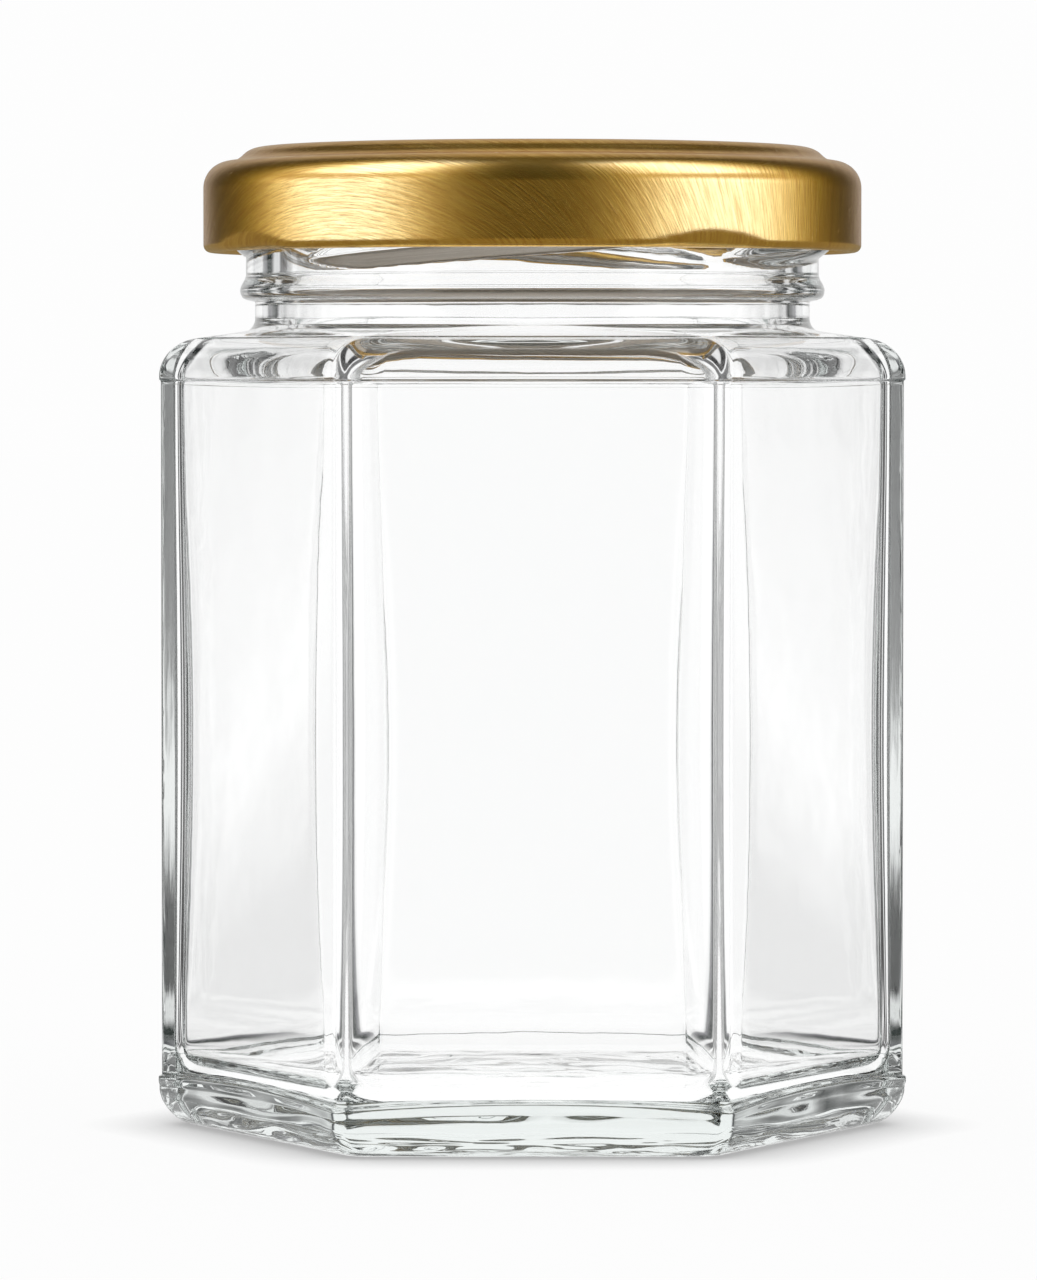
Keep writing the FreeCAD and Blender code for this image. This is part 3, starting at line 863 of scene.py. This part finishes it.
def off_backdrop(tree, direction, place):
    """The angle of a direction off the backdrop, seen from above, as a share of
    half a turn."""
    column, row = place
    flat = add_node(tree, "ShaderNodeVectorMath", place, {"operation": "MULTIPLY"}, {0: direction})
    flat.inputs[1].default_value = (1.0, 1.0, 0.0)
    level = add_node(tree, "ShaderNodeVectorMath", (column + 1, row), {"operation": "NORMALIZE"},
                     {0: flat.outputs[0]})
    parts = add_node(tree, "ShaderNodeSeparateXYZ", (column + 2, row),
                     links={"Vector": level.outputs[0]})
    angle = add_node(tree, "ShaderNodeMath", (column + 3, row), {"operation": "ARCCOSINE"},
                     {0: parts.outputs["Y"]})
    turn = add_node(tree, "ShaderNodeMath", (column + 4, row), {"operation": "DIVIDE"},
                    {0: angle.outputs[0]})
    turn.inputs[1].default_value = math.pi
    return turn.outputs[0]


def band(tree, value, low, high, soft, place):
    """1 where a value lies between two limits, with soft edges."""
    column, row = place
    rise = map_range(tree, place, value, (low - soft, low + soft), shape="SMOOTHSTEP")
    fall = map_range(tree, (column, row + 1), value, (high - soft, high + soft), (1.0, 0.0),
                     "SMOOTHSTEP")
    both = add_node(tree, "ShaderNodeMath", (column + 1, row), {"operation": "MULTIPLY"},
                    {0: rise, 1: fall})
    return both.outputs[0]


def stops(tree, fac, place, colours):
    """A colour that follows an angle off the backdrop, from stops in degrees."""
    node = add_node(tree, "ShaderNodeValToRGB", place, links={"Fac": fac})
    ramp = node.color_ramp
    while len(ramp.elements) < len(colours):
        ramp.elements.new(1.0)
    for element, (degrees, value) in zip(ramp.elements, colours):
        element.position = degrees / 180.0
        element.color = (*value, 1.0)
    return node.outputs["Color"]


def dimmed(tree, light, place):
    """The room as the glass mirrors it at a glance, less bright than straight through."""
    node = add_node(tree, "ShaderNodeVectorMath", place, {"operation": "SCALE"}, {0: light},
                    Scale=GLANCE)
    return node.outputs[0]


def glow(tree, light, place):
    node = add_node(tree, "ShaderNodeEmission", place, links={"Color": light}, Strength=1.0)
    return node.outputs[0]


def choose(tree, ray, one, other, place):
    """One surface for most rays, the other for a kind of ray."""
    node = add_node(tree, "ShaderNodeMixShader", place, links={0: ray, 1: one, 2: other})
    return node.outputs[0]


def floor_material(colours):
    """White table top: plain to the room, behind the glass a painted glow of a bright room's
    reflection, in the lid a painted dim reflection, and a soft painted shadow where the
    jar stands on it."""
    material = new_material("white_table_top")
    tree = material.node_tree
    place = add_node(tree, "ShaderNodeTexCoord", (0, 0)).outputs["Object"]
    rays = add_node(tree, "ShaderNodeLightPath", (6, 4)).outputs
    paint = add_node(tree, "ShaderNodeBsdfDiffuse", (6, 0), Color=(*colours.floor, 1.0))
    # painted reflection: to the lid's rough gloss the floor glows a dim warm colour instead of its
    # white
    in_lid = add_node(tree, "ShaderNodeEmission", (6, 1), Color=(*PAINTED_FLOOR_IN_LID, 1.0), Strength=1.0)
    # far from the jar the floor carries the room's flags on, seen through the glass: painted light
    # and shade that the floor glows with, brighter than white near the jar and without its shadow
    away = add_node(tree, "ShaderNodeVectorMath", (2, 3), {"operation": "LENGTH"}, {0: place})
    far = map_range(tree, (3, 3), away.outputs["Value"], (0.036, 0.055), shape="SMOOTHSTEP")
    room = stops(tree, off_backdrop(tree, place, (1, 0)), (4, 2), FLAGS)
    painted_room_glow = between(tree, far, BRIGHT, room, (5, 2))
    mirrored = choose(tree, rays["Is Glossy Ray"], paint.outputs[0], in_lid.outputs[0], (7, 0))
    # painted reflection: in the glass's sharp mirror the floor glows with the same painted room,
    # dimmer
    sheen = glow(tree, dimmed(tree, painted_room_glow, (6, 3)), (7, 3))
    sharp = choose(tree, rays["Is Singular Ray"], mirrored, sheen, (8, -1))
    seen = choose(tree, rays["Is Transmission Ray"], sharp, glow(tree, painted_room_glow, (6, 2)), (8, 0))
    # painted contact shadow: to the camera the floor mostly glows grey from the ambient occlusion
    # node, darker close to the jar
    contact = add_node(tree, "ShaderNodeAmbientOcclusion", (6, 6), {"samples": 8},
                       Distance=CONTACT_REACH)
    painted_contact_shadow = map_range(tree, (7, 6), contact.outputs["AO"], (0.2, 1.0), (0.45, 0.985))
    share = add_node(tree, "ShaderNodeMath", (8, 3), {"operation": "MULTIPLY"},
                     {0: rays["Is Camera Ray"]})
    share.inputs[1].default_value = CONTACT_SHARE
    shaded = choose(tree, share.outputs[0], seen, glow(tree, painted_contact_shadow, (8, 2)), (9, 0))
    add_node(tree, "ShaderNodeOutputMaterial", (10, 0), links={"Surface": shaded})
    return material


def build_floor(scene):
    half, under = FLOOR_HALF, -FILM_OF_AIR
    corners = [(-half, -half, under), (half, -half, under),
               (half, half, under), (-half, half, under)]
    mesh = bpy.data.meshes.new("floor")
    mesh.from_pydata(corners, [], [(0, 1, 2, 3)])
    mesh.materials.append(floor_material(scene.jamjar_finishes))
    floor = bpy.data.objects.new("floor", mesh)
    scene.collection.objects.link(floor)


def room_in_lid(tree, turn, up):
    """What rough metal mirrors: softboxes, with a dim ceiling over them."""
    boxes = stops(tree, turn, (7, 3), SOFTBOXES)
    lifted = band(tree, up, 0.17, 0.46, 0.05, (7, 8))
    boxes = between(tree, lifted, boxes, LOW_CEILING, (8, 8), "DARKEN")
    overhead = band(tree, up, 0.93, 2.0, 0.05, (7, 6))
    return between(tree, overhead, boxes, HIGH_CEILING, (8, 6))


def room_in_glass(tree, turn, up):
    """What glass shows: the flags round the horizon, a dark ceiling that comes
    lower opposite the backdrop, and a pale opening straight up."""
    level_sky = stops(tree, turn, (7, 0), FLAGS)
    opposite = band(tree, turn, 0.55, 2.0, 0.08, (6, -10))
    tilted = add_node(tree, "ShaderNodeMath", (7, -10), {"operation": "MULTIPLY_ADD"},
                      {0: opposite, 2: up})
    tilted.inputs[1].default_value = 0.35
    open_sky = band(tree, tilted.outputs[0], -2.0, 0.85, 0.08, (7, -4))
    through = between(tree, open_sky, DARK, level_sky, (8, 0))
    zenith = band(tree, up, 0.90, 2.0, 0.05, (7, -7))
    return between(tree, zenith, through, ZENITH, (9, -2))


def build_world(scene):
    """Plain white light on everything, and a studio to mirror and to see through."""
    world = bpy.data.worlds.new("studio")
    scene.world = world
    world.use_nodes = True
    world.cycles.sampling_method = "NONE"
    tree = world.node_tree
    tree.nodes.clear()
    place = add_node(tree, "ShaderNodeTexCoord", (0, 0)).outputs["Generated"]
    up = add_node(tree, "ShaderNodeSeparateXYZ", (1, -2), links={"Vector": place}).outputs["Z"]
    turn = off_backdrop(tree, place, (1, 1))
    rays = add_node(tree, "ShaderNodeLightPath", (8, 5)).outputs
    through = room_in_glass(tree, turn, up)
    by_gloss = between(tree, rays["Is Glossy Ray"], WHITE, room_in_lid(tree, turn, up), (10, 2))
    glance = dimmed(tree, through, (10, 0))
    sheen = between(tree, rays["Is Singular Ray"], by_gloss, glance, (11, 2))
    by_glass = between(tree, rays["Is Transmission Ray"], sheen, through, (11, 1))
    plain = add_node(tree, "ShaderNodeMath", (10, 5), {"operation": "GREATER_THAN"},
                     {0: rays["Diffuse Depth"]})
    plain.inputs[1].default_value = 0.5
    final = between(tree, plain.outputs[0], by_glass, WHITE, (12, 1))
    light = add_node(tree, "ShaderNodeBackground", (13, 0), links={"Color": final}, Strength=1.0)
    add_node(tree, "ShaderNodeOutputWorld", (14, 0), links={"Surface": light.outputs[0]})


def build_camera(scene, stage):
    data = bpy.data.cameras.new("camera")
    data.lens = stage.lens
    data.clip_start = 0.01
    camera = bpy.data.objects.new("camera", data)
    scene.collection.objects.link(camera)
    camera.location = (stage.side, -stage.distance, stage.height)
    aim = Vector((stage.side, 0.0, stage.aim_height)) - camera.location
    camera.rotation_euler = aim.to_track_quat("-Z", "Y").to_euler()
    scene.camera = camera


# ---------------------------------------------------------------- panel

class JAMJAR_PT_panel(bpy.types.Panel):
    """Lists the pieces and their settings"""
    bl_label = "Jam jar"
    bl_idname = "JAMJAR_PT_panel"
    bl_space_type = "VIEW_3D"
    bl_region_type = "UI"
    bl_category = "Jam jar"

    def draw(self, context):
        for settings, operators in PANEL_GROUPS:
            box = self.layout.box()
            group = getattr(context.scene, settings)
            for name in group.__annotations__:
                box.prop(group, name)
            for operator in operators:
                box.operator(operator)


PANEL_GROUPS = (
    ("jamjar_glass", ("jamjar.glass",)),
    ("jamjar_lid", ("jamjar.lid", "jamjar.seal")),
    ("jamjar_finishes", ()),
    ("jamjar_stage", ("jamjar.stage",)),
)

SETTINGS = {
    "jamjar_glass": JamJarGlass,
    "jamjar_lid": JamJarLid,
    "jamjar_finishes": JamJarFinishes,
    "jamjar_stage": JamJarStage,
}

CLASSES = (*SETTINGS.values(), JAMJAR_OT_glass, JAMJAR_OT_lid, JAMJAR_OT_seal,
           JAMJAR_OT_stage, JAMJAR_PT_panel)


def register():
    for cls in CLASSES:
        bpy.utils.register_class(cls)
    for name, group in SETTINGS.items():
        setattr(bpy.types.Scene, name, PointerProperty(type=group))


def unregister():
    for name in SETTINGS:
        delattr(bpy.types.Scene, name)
    for cls in reversed(CLASSES):
        bpy.utils.unregister_class(cls)


def main():
    register()
    bpy.ops.jamjar.stage()
    bpy.ops.jamjar.glass()
    bpy.ops.jamjar.lid()
    bpy.ops.jamjar.seal()
    bpy.context.view_layer.update()


if __name__ == "__main__":
    main()
